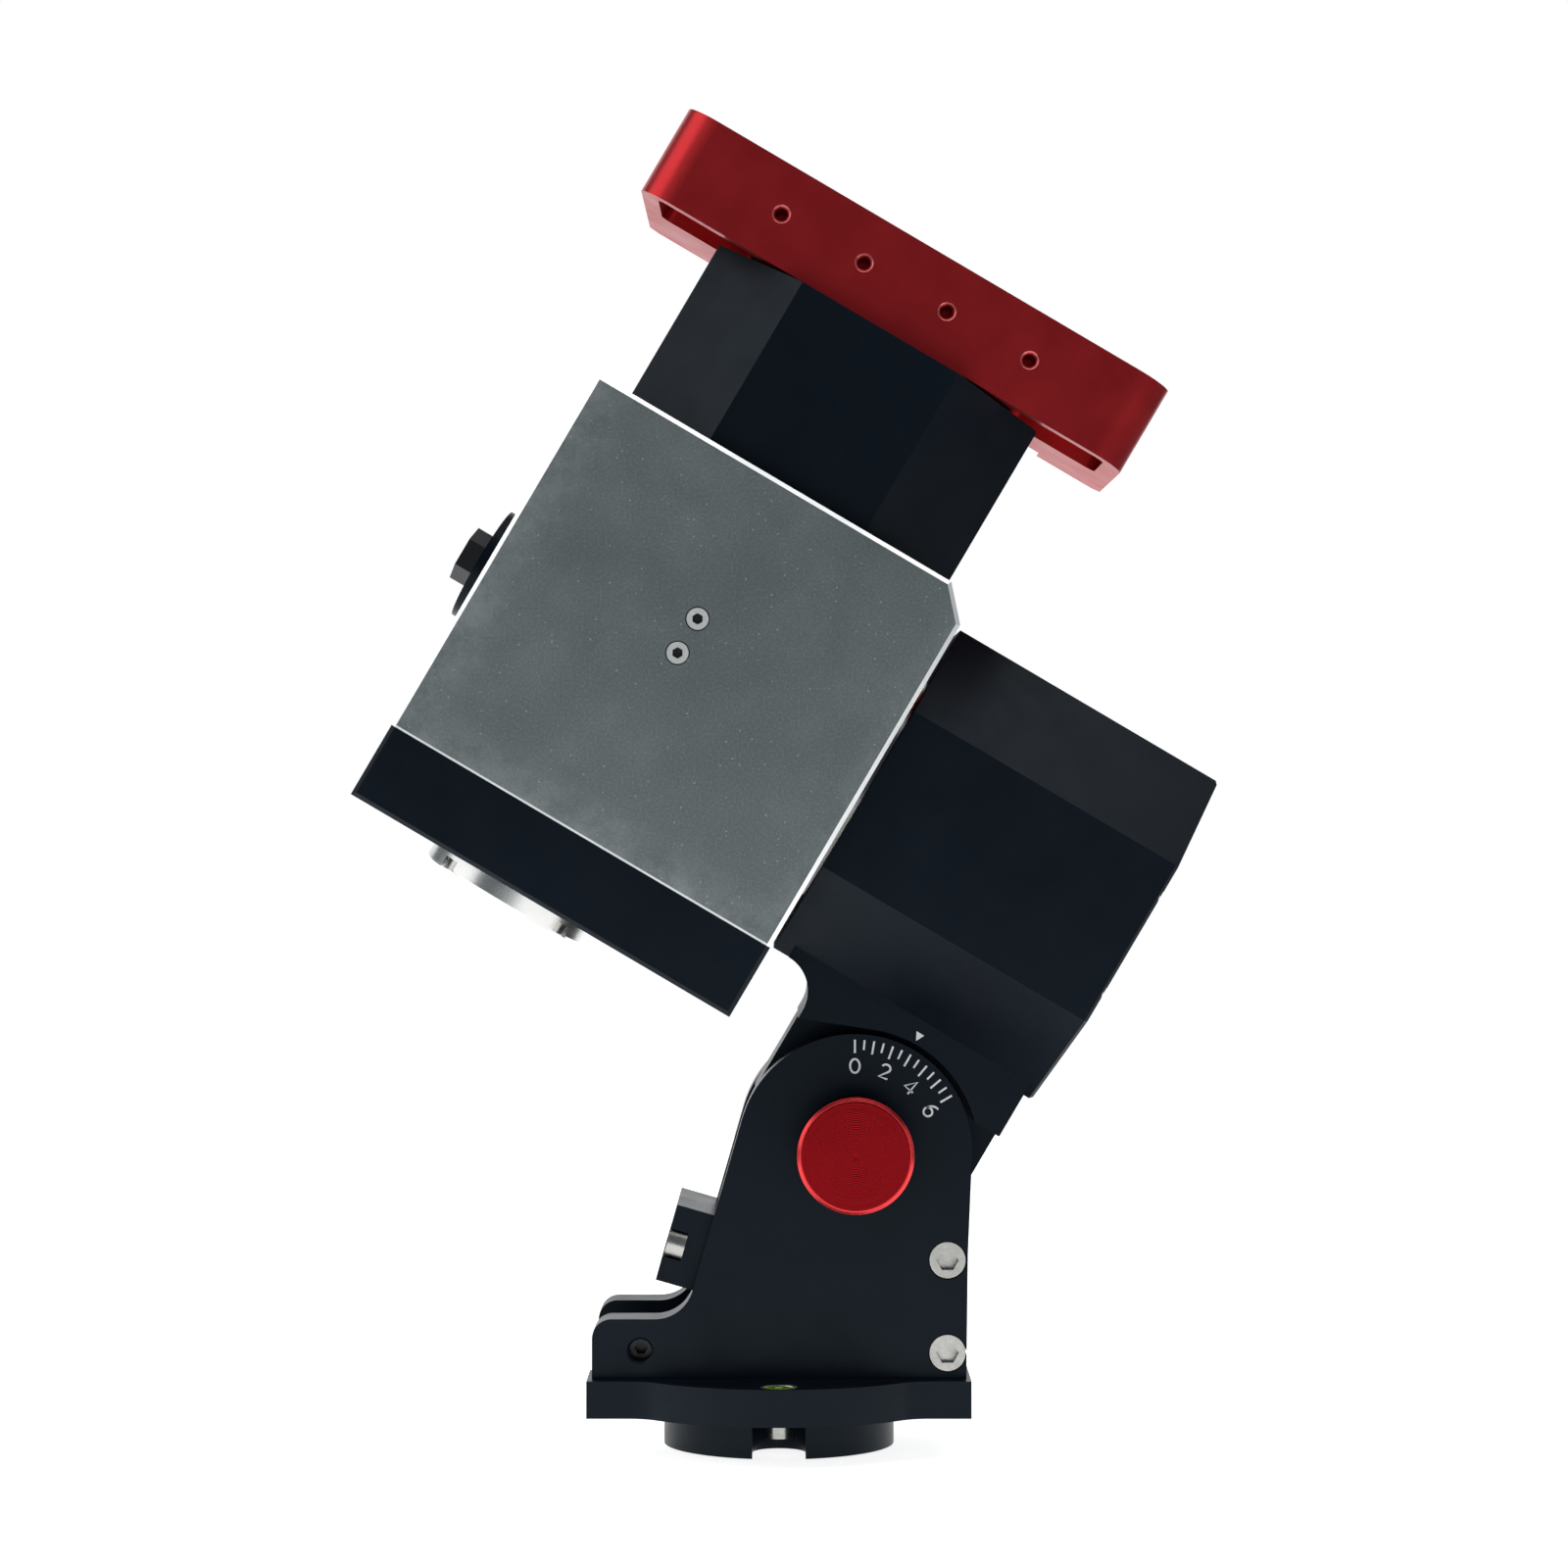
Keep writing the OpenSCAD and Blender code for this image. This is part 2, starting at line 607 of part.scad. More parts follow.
module dec_body() {
    inner_top = box_top - 6;
    color(grey) head() difference() {
        intersection() {
            box_solid();
            slab(box_bottom, box_top + 1);
        }
        // cavity with corner posts left for the cap screws
        difference() {
            translate([box_left + cube_wall, -inner_half, box_bottom - 1])
                cube([box_len - 2 * cube_wall, 2 * inner_half, inner_top - box_bottom + 1]);
            for (p = cap_screw_spots) translate([p[0] - 6, p[1] - 6, box_bottom - 2]) cube([12, 12, 22]);
            translate([box_right - cube_wall - 9, -60, box_top - 12]) cube([20, 120, 20]);
        }
        for (p = cap_screw_spots) translate([p[0], p[1], box_bottom - 1]) cylinder(r = 1.5 + fit, h = 12);
        // seat for the polar output flange
        translate([box_right - cube_wall - 1, 0, ra_height]) rotate([0, 90, 0]) {
            cylinder(r = 9, h = 10);
            for (a = [0 : 60 : 300]) rotate(a) translate([20, 0, 0]) cylinder(r = 2.1, h = 10);
        }
        // motor passage up into the declination head
        translate([-dec_offset, 0, inner_top - 1]) cylinder(r = 33, h = 10);
        // near-side screws of the board bracket
        for (p = board_spots) translate([p[0], 0, p[1]]) {
            along_y(-box_depth / 2 - 1) cylinder(r = 3.05, h = 4.2);
            along_y(-box_depth / 2 - 1) cylinder(r = 1.65, h = 10);
        }
        translate([box_left - 1, 0, ra_height]) rotate([0, 90, 0]) cylinder(r = 4 + fit, h = 10);
    }
}

module dec_bottom_cap() {
    color(black) head() difference() {
        intersection() {
            box_solid();
            slab(cap_bottom - 1, box_bottom);
        }
        difference() {
            translate([box_left + cube_wall, -inner_half, cap_bottom + 5])
                cube([box_len - 2 * cube_wall, 2 * inner_half, 30]);
            for (p = cap_screw_spots) translate([p[0] - 6, p[1] - 6, 0]) cube([12, 12, 60]);
            translate([weight_x, 0, 0]) cylinder(r = 17, h = 32);
        }
        for (p = cap_screw_spots) translate([p[0], p[1], 0]) {
            cylinder(r = 1.65, h = 60);
            cylinder(r = 3.05, h = cap_bottom + 4);
        }
        translate([weight_x, 0, 0]) cylinder(r = 11 + fit, h = 60);
        for (a = [45 : 90 : 315]) translate([weight_x, 0, cap_bottom - 1]) rotate(a) translate([19.5, 0, 0])
            cylinder(r = 2 + fit, h = 4.5);
    }
}

module cap_screws() {
    color(steel) head() for (p = cap_screw_spots) translate([p[0], p[1], cap_bottom + 4])
        rotate([180, 0, 0]) cap_screw(1.5, 2.75, 3, 25, 2.5);
}

module board_screws() {
    color(silver) head() for (p = board_spots) translate([p[0], -box_depth / 2 + 3.1, p[1]])
        rotate([90, 0, 0]) cap_screw(1.5, 2.75, 3, 8, 2.5);
}

module board_bracket() {
    color(silver) head() translate([-118, -inner_half, 80]) difference() {
        union() {
            cube([30, 4, 24]);
            cube([4, 12, 24]);
            translate([26, 0, 0]) cube([4, 12, 24]);
        }
        for (p = board_spots) translate([p[0] + 118, 0, p[1] - 80]) along_y(-1) cylinder(r = 1.5 + fit, h = 8);
    }
}

module control_board() {
    color([0.05, 0.3, 0.15]) head() translate([-142, -inner_half + 12, 46]) {
        cube([84, 1.6, 66]);
        translate([8, 1.6, 8]) cube([14, 2.2, 14]);
        translate([34, 1.6, 20]) cube([10, 1.6, 10]);
        translate([58, 1.6, 42]) cube([16, 6, 9]);
    }
}

module counterweight_socket() {
    color(silver) head() translate([weight_x, 0, 0]) difference() {
        union() {
            translate([0, 0, cap_bottom - weight_t]) rotate_extrude()
                polygon([[0, 0], [23, 0], [23.75, 0.75], [23.75, weight_t], [0, weight_t]]);
            translate([0, 0, cap_bottom]) cylinder(r = 11, h = 17);
        }
        translate([0, 0, cap_bottom - weight_t - 1]) cylinder(r = 5.1, h = weight_t + 15);
        translate([0, 0, cap_bottom - weight_t - eps]) cylinder(r1 = 6, r2 = 5.1, h = 0.9);
        for (a = [45 : 90 : 315]) rotate(a) translate([19.5, 0, cap_bottom - weight_t - 1]) {
            cylinder(r = 4.8, h = weight_t - 2);
            cylinder(r = 2.2, h = weight_t + 3);
        }
    }
}

module counterweight_screws() {
    color(steel) head() for (a = [45 : 90 : 315]) translate([weight_x, 0, cap_bottom - 3]) rotate(a)
        translate([19.5, 0, 0]) rotate([180, 0, 0]) cap_screw(2, 3.5, 2.8, 5.7, 3);
}

flange_t = 6.1;
module side_flange() {
    color(black) head() translate([box_left - flange_t, 0, ra_height]) rotate([0, 90, 0]) difference() {
        rotate_extrude() polygon([[0, 0], [9, 0], [15.5, 0.6], [15.5, flange_t], [0, flange_t]]);
        translate([0, 0, -1]) cylinder(r = 4 + fit, h = 10);
    }
}
module side_bolt() {
    color(black) head() translate([box_left - flange_t - 4.9, 0, ra_height]) rotate([0, 90, 0]) {
        cylinder(d = 13 / cos(30), h = 4.9, $fn = 6);
        translate([0, 0, 4.9]) cylinder(r = 4, h = flange_t + cube_wall + 8);
        translate([0, 0, 4.9 + flange_t + cube_wall]) cylinder(d = 13 / cos(30), h = 6.5, $fn = 6);
    }
}

// ---------------------------------------------------------------- declination head

module dec_head_housing() color(black) dec_drive() housing_shell(head_h, dec_front_wall);
module dec_bearing_outer_ring() color(steel) dec_drive() translate([0, 0, dec_front_wall]) bearing_outer_ring();
module dec_bearing_inner_ring() color(steel) dec_drive() translate([0, 0, dec_front_wall]) bearing_inner_ring();
module dec_bearing_balls() color(silver) dec_drive() translate([0, 0, dec_front_wall]) bearing_balls();
module dec_circular_spline() color(steel) dec_drive() translate([0, 0, dec_front_wall + bearing_t]) circular_spline();
module dec_flexspline() color(silver) dec_drive() translate([0, 0, dec_flex_at]) flexspline(flex_depth);
module dec_wave_generator() color(brass) dec_drive() translate([0, 0, dec_flex_at + cam_at]) wave_generator(12.8);
dec_plate_at = dec_front_wall + bearing_t + spline_t + plate_gap;
module dec_motor_plate() color(black) dec_drive() translate([0, 0, dec_plate_at]) motor_plate();
module dec_motor() color(steel) dec_drive() translate([0, 0, dec_plate_at + 4]) motor();
module dec_output_flange() {
    color(black) dec_drive() output_flange(saddle_bottom - head_top, dec_front_wall);
}

// ---------------------------------------------------------------- saddle

floor_top = 10;                           // channel floor above the saddle's underside
jaw_recess = 10;
jaw_len = 102;
channel_low = 23;                         // half width of the dovetail channel at its floor
channel_high = 18.6;                      // and at its lips
end_wall = 24;                            // near face of the far end blocks
pocket_v = 5;
side_tap_r = 1.65;
side_tap_pitch = 24.2;
knob_spots = [-34, 34];
stud_r = 3;            // fixed studs that the clamp knobs run on
near_corner_r = 9;

module saddle_frame() head() translate([saddle_mid, 0, saddle_bottom]) children();

module saddle_plan() {
    hl = saddle_len / 2;
    hw = saddle_wid / 2;
    far_c = 2.5;
    translate([-hl + near_corner_r, -hw]) square([saddle_len - 2 * near_corner_r, 20]);
    for (s = [-1, 1]) translate([s * (hl - near_corner_r), -hw + near_corner_r]) circle(r = near_corner_r);
    polygon([[-hl, -hw + near_corner_r], [hl, -hw + near_corner_r], [hl, hw - far_c], [hl - far_c, hw],
             [-hl + far_c, hw], [-hl, hw - far_c]]);
}

module pocket_plan(x0, x1) {
    y0 = -34.4;
    y1 = -0.4;
    r = 3;
    translate([x0 + r, y0]) square([x1 - x0 - 2 * r, y1 - y0]);
    translate([x0, y0 + r]) square([x1 - x0, y1 - y0 - 2 * r]);
    for (x = [x0 + r, x1 - r], y = [y0 + r, y1 - r]) translate([x, y]) circle(r = r, $fn = 48);
}

module saddle_body() {
    hl = saddle_len / 2;
    color(red) saddle_frame() difference() {
        linear_extrude(saddle_h) saddle_plan();
        // dovetail channel, open at both ends
        rotate([90, 0, 90]) translate([0, 0, -hl - 1]) linear_extrude(saddle_len + 2)
            polygon([[-channel_low, floor_top], [end_wall, floor_top], [end_wall, saddle_h + 1],
                     [-channel_high + 0.3, saddle_h + 1]]);
        // recess that holds the moving jaw
        translate([-jaw_len / 2, saddle_wid / 2 - jaw_recess, -1]) cube([jaw_len, 20, saddle_h + 2]);
        translate([-jaw_len / 2, end_wall - 1, floor_top]) cube([jaw_len, 20, saddle_h]);
        // pockets under both ends
        translate([0, 0, -1]) linear_extrude(pocket_v + 1) {
            pocket_plan(-65.5, -38.5);
            pocket_plan(38.5, 65.5);
        }
        for (i = [-1.5 : 1 : 1.5]) translate([i * side_tap_pitch, 0, saddle_h / 2]) {
            along_y(-saddle_wid / 2 - 1) cylinder(r = side_tap_r, h = 13);
            along_y(-saddle_wid / 2 - eps) cylinder(r1 = side_tap_r + 0.7, r2 = side_tap_r, h = 0.7);
        }
        for (x = knob_spots) translate([x, 5, 5.4]) along_y(0) cylinder(r = stud_r + fit, h = 40);
        for (a = [0 : 60 : 300]) rotate(a) translate([20, 0, 0]) {
            translate([0, 0, -1]) cylinder(r = 2.1, h = 30);
            translate([0, 0, floor_top - 4.4]) cylinder(r = 3.9, h = 30);
        }
    }
}

module saddle_screws() {
    color(steel) saddle_frame() {
        for (a = [0 : 60 : 300]) rotate(a) translate([20, 0, floor_top - 4.4])
            cap_screw(2, 3.5, 4, 27, 3);
        for (x = knob_spots) translate([x, 5.6, 5.4]) along_y(0) cylinder(r = stud_r, h = 47.4);
    }
}

jaw_fit = 0.4;
module saddle_jaw() {
    outer = saddle_wid / 2 - 0.3;
    inner = saddle_wid / 2 - jaw_recess + jaw_fit;
    half = jaw_len / 2 - jaw_fit;
    color(red) saddle_frame() difference() {
        rotate([90, 0, 90]) translate([0, 0, -half]) linear_extrude(2 * half)
            polygon([[inner, 1.5], [outer, 1.5], [outer, saddle_h], [channel_high, saddle_h],
                     [channel_low, floor_top + jaw_fit], [inner, floor_top + jaw_fit]]);
        for (x = knob_spots) translate([x, 0, 5.4]) along_y(20) cylinder(r = stud_r + 0.4, h = 30);
    }
}

module clamp_knob(x) {
    color(red) saddle_frame() translate([x, saddle_wid / 2 + 0.1, 5.4]) rotate([-90, 0, 0]) difference() {
        rotate_extrude()
            polygon([[0, 0], [5, 0], [5, 6], [9, 6.6], [9.5, 7.2], [9.5, 17], [8.8, 17.8], [0, 17.8]]);
        translate([0, 0, -1]) cylinder(r = stud_r + fit, h = 15);
    }
}
module clamp_knob_left() clamp_knob(knob_spots[0]);
module clamp_knob_right() clamp_knob(knob_spots[1]);

azimuth_base();
bubble_level_cup();
bubble_level_fluid();
fork_plate_near();
fork_plate_far();
front_cross_block();
rear_cross_block();
base_screws();
fork_plate_screws();
front_block_screws();
pivot_bolt();
lock_washer();
altitude_lock_knob();
azimuth_screw_near();
azimuth_screw_far();
altitude_screw_front();
altitude_screw_rear();
tilt_bracket();
altitude_bushes();
bracket_screws();
ra_housing();
ra_rear_cover();
ra_cover_screws();
ra_bearing_outer_ring();
ra_circular_spline();
ra_motor_plate();
ra_motor();
power_socket();
data_socket();
ra_output_flange();
ra_bearing_inner_ring();
ra_bearing_balls();
ra_flexspline();
ra_flange_screws();
ra_wave_generator();
dec_body();
dec_bottom_cap();
cap_screws();
board_screws();
board_bracket();
control_board();
counterweight_socket();
counterweight_screws();
side_flange();
side_bolt();
dec_head_housing();
dec_bearing_outer_ring();
dec_circular_spline();
dec_motor_plate();
dec_motor();
dec_wave_generator();
dec_output_flange();
dec_bearing_inner_ring();
dec_bearing_balls();
dec_flexspline();
saddle_screws();
saddle_body();
saddle_jaw();
clamp_knob_left();
clamp_knob_right();
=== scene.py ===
"""Star tracker mount: looks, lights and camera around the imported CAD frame."""
import json
import math

import bpy
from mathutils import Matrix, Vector


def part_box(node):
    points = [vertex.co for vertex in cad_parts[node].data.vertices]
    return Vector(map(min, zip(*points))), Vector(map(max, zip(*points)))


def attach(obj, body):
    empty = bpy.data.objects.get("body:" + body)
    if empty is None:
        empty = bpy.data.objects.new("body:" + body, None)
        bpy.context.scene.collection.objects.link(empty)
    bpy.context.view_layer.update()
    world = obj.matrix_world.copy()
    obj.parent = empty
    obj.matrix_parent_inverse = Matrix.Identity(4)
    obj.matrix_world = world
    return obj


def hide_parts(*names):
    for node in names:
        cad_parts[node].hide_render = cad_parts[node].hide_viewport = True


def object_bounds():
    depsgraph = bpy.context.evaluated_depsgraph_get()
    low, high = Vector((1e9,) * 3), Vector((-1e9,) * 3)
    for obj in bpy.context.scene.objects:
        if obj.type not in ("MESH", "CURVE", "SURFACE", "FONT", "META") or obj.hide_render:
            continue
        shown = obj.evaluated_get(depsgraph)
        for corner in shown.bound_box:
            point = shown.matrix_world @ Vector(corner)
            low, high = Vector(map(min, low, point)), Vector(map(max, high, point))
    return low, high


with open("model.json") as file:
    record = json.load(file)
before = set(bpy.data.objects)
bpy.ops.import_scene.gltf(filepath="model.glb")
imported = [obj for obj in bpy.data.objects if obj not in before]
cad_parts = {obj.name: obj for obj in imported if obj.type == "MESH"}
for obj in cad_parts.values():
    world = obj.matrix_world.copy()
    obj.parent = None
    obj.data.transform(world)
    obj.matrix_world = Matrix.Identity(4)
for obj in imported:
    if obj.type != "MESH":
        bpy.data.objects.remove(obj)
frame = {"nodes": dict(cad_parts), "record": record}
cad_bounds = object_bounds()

MM = 0.001
scene = bpy.context.scene
scene.view_settings.view_transform = "Standard"


JOINTS = {j["name"]: j for j in frame["record"]["behaviour"]["joints"]}
PIVOT = Vector(JOINTS["altitude_tilt"]["pos_m"])
POLAR = Vector(JOINTS["ra_rotation"]["axis"]).normalized()      # towards the declination body
HEAD_U = -POLAR
HEAD_V = Vector(JOINTS["dec_rotation"]["axis"]).normalized()
if HEAD_V.z < 0:
    HEAD_V = -HEAD_V
HEAD_Y = Vector((0, 1, 0))
TILT = math.atan2(HEAD_V.x, HEAD_V.z)                           # latitude, as a turn about +Y


def head(u, y, v):
    """Point at u, y, v millimetres from the pivot, in axes that tilt with the head."""
    return PIVOT + (HEAD_U * u + HEAD_Y * y + HEAD_V * v) * MM


def box(node):
    lo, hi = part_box(node)
    return Vector(lo), Vector(hi)


def middle(node):
    lo, hi = box(node)
    return (lo + hi) / 2


# ---------------------------------------------------------------- materials
class Nodes:
    """A Principled material with a few procedural helpers."""

    def __init__(self, name, color, rough, metallic=0.0, specular=0.5):
        self.mat = bpy.data.materials.new(name)
        self.mat.use_nodes = True
        self.tree = self.mat.node_tree
        self.bsdf = self.tree.nodes["Principled BSDF"]
        self.put("Base Color", (*color, 1))
        self.put("Roughness", rough)
        self.put("Metallic", metallic)
        self.put("Specular IOR Level", specular)
        self.coords = self.tree.nodes.new("ShaderNodeTexCoord")

    def put(self, socket, value):
        self.bsdf.inputs[socket].default_value = value

    def add(self, kind, **settings):
        node = self.tree.nodes.new(kind)
        for key, value in settings.items():
            setattr(node, key, value)
        return node

    def link(self, a, b):
        self.tree.links.new(a, b)

    def noise(self, scale, detail=2.0, rough=0.5, vector=None):
        node = self.add("ShaderNodeTexNoise")
        node.inputs["Scale"].default_value = scale
        node.inputs["Detail"].default_value = detail
        node.inputs["Roughness"].default_value = rough
        self.link(vector or self.coords.outputs["Object"], node.inputs["Vector"])
        return node.outputs["Fac"]

    def spread(self, value, low, high, lo=0.3, hi=0.7):
        """Map lo..hi of a value to low..high, clamped."""
        node = self.add("ShaderNodeMapRange")
        node.inputs["From Min"].default_value = lo
        node.inputs["From Max"].default_value = hi
        node.inputs["To Min"].default_value = low
        node.inputs["To Max"].default_value = high
        self.link(value, node.inputs["Value"])
        return node.outputs["Result"]

    def ramp(self, value, stops):
        node = self.add("ShaderNodeValToRGB")
        ramp = node.color_ramp
        while len(ramp.elements) < len(stops):
            ramp.elements.new(0.5)
        for element, (at, color) in zip(ramp.elements, stops):
            element.position = at
            element.color = (*color, 1)
        self.link(value, node.inputs["Fac"])
        return node.outputs["Color"]

    def mix(self, a, b, factor):
        node = self.add("ShaderNodeMix", data_type="RGBA")
        for socket, value in (("A", a), ("B", b)):
            target = [i for i in node.inputs if i.name == socket and i.type == "RGBA"][0]
            if isinstance(value, tuple):
                target.default_value = (*value, 1)
            else:
                self.link(value, target)
        target = [i for i in node.inputs if i.name == "Factor" and i.type == "VALUE"][0]
        if isinstance(factor, float):
            target.default_value = factor
        else:
            self.link(factor, target)
        return [o for o in node.outputs if o.type == "RGBA"][0]

    def math(self, op, a, b=0.5):
        node = self.add("ShaderNodeMath", operation=op)
        for i, value in enumerate((a, b)):
            if isinstance(value, (int, float)):
                node.inputs[i].default_value = value
            else:
                self.link(value, node.inputs[i])
        return node.outputs["Value"]

    def bump(self, height, strength, distance):
        node = self.add("ShaderNodeBump")
        node.inputs["Strength"].default_value = strength
        node.inputs["Distance"].default_value = distance
        self.link(height, node.inputs["Height"])
        previous = self.bsdf.inputs["Normal"]
        if previous.is_linked:
            self.link(previous.links[0].from_socket, node.inputs["Normal"])
        self.link(node.outputs["Normal"], previous)

    def set(self, socket, output):
        self.link(output, self.bsdf.inputs[socket])


def shade(color, k):
    return tuple(min(1.0, c * k) for c in color)


def satin(name, color, rough, metallic=0.0, specular=0.5, grain=2600, bump=0.05, blotch=26,
          vary=0.16, rough_vary=0.05):
    """Bead-blasted and anodised or plain metal: fine grain, faint cloudiness, uneven gloss."""
    m = Nodes(name, color, rough, metallic, specular)
    fine = m.noise(grain, 3.0, 0.6)
    cloud = m.noise(blotch, 3.0, 0.55)
    tint = m.ramp(cloud, [(0.3, shade(color, 1 - vary)), (0.7, shade(color, 1 + vary))])
    speck = m.ramp(fine, [(0.35, shade(color, 1 - vary)), (0.65, shade(color, 1 + 1.6 * vary))])
    m.set("Base Color", m.mix(tint, speck, 0.45))
    m.set("Roughness", m.spread(m.noise(blotch * 3.1, 4.0, 0.6), rough - rough_vary, rough + rough_vary))
    m.bump(fine, bump, 0.00006)
    return m


def turned(name, color, rough, metallic, centre, pitch, bump=0.25, specular=0.5):
    """Lathe-turned face: fine rings round an axis along Y through centre."""
    m = satin(name, color, rough, metallic, specular, vary=0.08)
    move = m.add("ShaderNodeVectorMath", operation="SUBTRACT")
    move.inputs[1].default_value = centre
    m.link(m.coords.outputs["Object"], move.inputs[0])
    parts = m.add("ShaderNodeSeparateXYZ")
    m.link(move.outputs["Vector"], parts.inputs["Vector"])
    square = m.math("ADD", m.math("MULTIPLY", parts.outputs["X"], parts.outputs["X"]),
                    m.math("MULTIPLY", parts.outputs["Z"], parts.outputs["Z"]))
    radius = m.math("SQRT", square)
    rings = m.math("SINE", m.math("MULTIPLY", radius, 2 * math.pi / pitch))
    flat = m.add("ShaderNodeCombineXYZ")
    m.link(radius, flat.inputs["X"])
    band = m.noise(2400, 2.0, 0.7, flat.outputs["Vector"])
    m.bump(m.math("ADD", m.math("MULTIPLY", rings, 0.35), band), bump, 0.00008)
    return m


BLACK = (0.0036, 0.0060, 0.0102)
RED = (0.50, 0.024, 0.028)
STEEL = (0.42, 0.415, 0.39)


# the grey case's left and right ends and its lower edge, in coordinates turned with the head
CASE_U = (PIVOT.x - 0.1551, PIVOT.x - 0.0455)
CASE_LOW = PIVOT.z + 0.0348


def grey_case():
    """Blasted zinc-grey case with bright chamfers: bare machined metal, lightened further as a painted edge
    highlight.
    """
    m = Nodes("grey_case", (0.17, 0.19, 0.19), 0.46, 0.55, 0.5)
    fine = m.noise(1500, 2.0, 0.7)
    cloud = m.noise(46, 6.0, 0.68)
    large = m.noise(13, 3.0, 0.6)
    base = m.ramp(cloud, [(0.30, (0.108, 0.133, 0.136)), (0.52, (0.140, 0.166, 0.168)),
                          (0.74, (0.225, 0.252, 0.252))])
    wide = m.ramp(large, [(0.35, (0.116, 0.142, 0.145)), (0.65, (0.212, 0.240, 0.240))])
    speck = m.ramp(fine, [(0.34, (0.104, 0.126, 0.127)), (0.52, (0.155, 0.181, 0.182)),
                          (0.70, (0.29, 0.318, 0.316))])
    body = m.mix(m.mix(base, wide, 0.45), speck, 0.34)
    # scattered bright flecks left by the casting
    cell = m.add("ShaderNodeTexVoronoi", feature="F1")
    cell.inputs["Scale"].default_value = 620
    m.link(m.coords.outputs["Object"], cell.inputs["Vector"])
    pick = m.add("ShaderNodeSeparateColor")
    m.link(cell.outputs["Color"], pick.inputs["Color"])
    near = m.math("LESS_THAN", cell.outputs["Distance"], 0.13)
    fleck = m.math("MULTIPLY", near, m.math("GREATER_THAN", pick.outputs["Red"], 0.80))
    body = m.mix(body, (0.52, 0.55, 0.55), m.math("MULTIPLY", fleck, 0.55))
    facing = m.add("ShaderNodeSeparateXYZ")
    m.link(m.coords.outputs["Normal"], facing.inputs["Vector"])
    side = m.math("ABSOLUTE", facing.outputs["Y"])
    # painted light: paler patches towards the ends and the bottom of the near and far faces, and a painted
    # highlight line where the bottom cap meets it
    place = m.add("ShaderNodeVectorRotate", rotation_type="AXIS_ANGLE")
    place.inputs["Center"].default_value = PIVOT
    place.inputs["Axis"].default_value = (0, 1, 0)
    place.inputs["Angle"].default_value = -TILT
    m.link(m.coords.outputs["Object"], place.inputs["Vector"])
    spot = m.add("ShaderNodeSeparateXYZ")
    m.link(place.outputs["Vector"], spot.inputs["Vector"])
    left, right = CASE_U
    # painted light mask: paler towards the left end, the right end and the bottom edge
    painted_light_patch_mask = m.spread(spot.outputs["X"], 1.0, 0.0, left, left + 0.016)
    painted_light_patch_mask = m.math("MAXIMUM", painted_light_patch_mask, m.spread(spot.outputs["X"], 0.0, 0.8, right - 0.007, right))
    painted_light_patch_mask = m.math("MAXIMUM", painted_light_patch_mask, m.spread(spot.outputs["Z"], 1.0, 0.0, CASE_LOW, CASE_LOW + 0.012))
    painted_light_patch_mask = m.math("MULTIPLY", painted_light_patch_mask, m.math("GREATER_THAN", side, 0.93))
    patch = m.spread(m.noise(95, 5.0, 0.72), 0.0, 1.0, 0.38, 0.66)
    body = m.mix(body, (0.335, 0.365, 0.365), m.math("MULTIPLY", m.math("MULTIPLY", painted_light_patch_mask, patch), 0.62))
    # painted highlight: a near-white line along the bottom edge, where the cap meets the case
    painted_bottom_highlight = m.math("LESS_THAN", spot.outputs["Z"], CASE_LOW + 0.00055)
    body = m.mix(body, (0.90, 0.91, 0.91), painted_bottom_highlight)
    # chamfers, bare metal made lighter than the faces as a painted edge highlight: faces whose normal lies
    # between the near or far face and a side
    edge = m.math("MULTIPLY", m.math("GREATER_THAN", side, 0.25), m.math("LESS_THAN", side, 0.93))
    m.set("Base Color", m.mix(body, (0.86, 0.87, 0.87), edge))
    m.set("Metallic", m.math("MAXIMUM", edge, 0.55))
    rough = m.spread(m.noise(60, 4.0, 0.6), 0.40, 0.52)
    m.set("Roughness", m.math("SUBTRACT", rough, m.math("MULTIPLY", edge, 0.16)))
    m.bump(fine, 0.22, 0.00008)
    return m


def level_fluid():
    m = Nodes("level_fluid", (0.42, 0.78, 0.02), 0.12, 0.0, 0.5)
    m.put("Coat Weight", 1.0)
    m.put("Coat Roughness", 0.03)
    m.put("Transmission Weight", 0.35)
    m.put("IOR", 1.45)
    m.set("Base Color", m.ramp(m.noise(260, 2.0), [(0.35, (0.40, 0.74, 0.01)), (0.65, (0.55, 0.86, 0.03))]))
    return m


def circuit_board():
    m = Nodes("circuit_board", (0.01, 0.09, 0.035), 0.35)
    tracks = m.noise(420, 1.0, 0.4)
    m.set("Base Color", m.ramp(tracks, [(0.46, (0.008, 0.07, 0.03)), (0.5, (0.02, 0.16, 0.07)),
                                        (0.56, (0.008, 0.07, 0.03))]))
    m.bump(tracks, 0.2, 0.0001)
    return m


def printed(name, color):
    """Filled engraving in flat paint."""
    m = Nodes(name, color, 0.6)
    m.set("Base Color", m.ramp(m.noise(1800, 2.0), [(0.3, shade(color, 0.86)), (0.7, color)]))
    return m


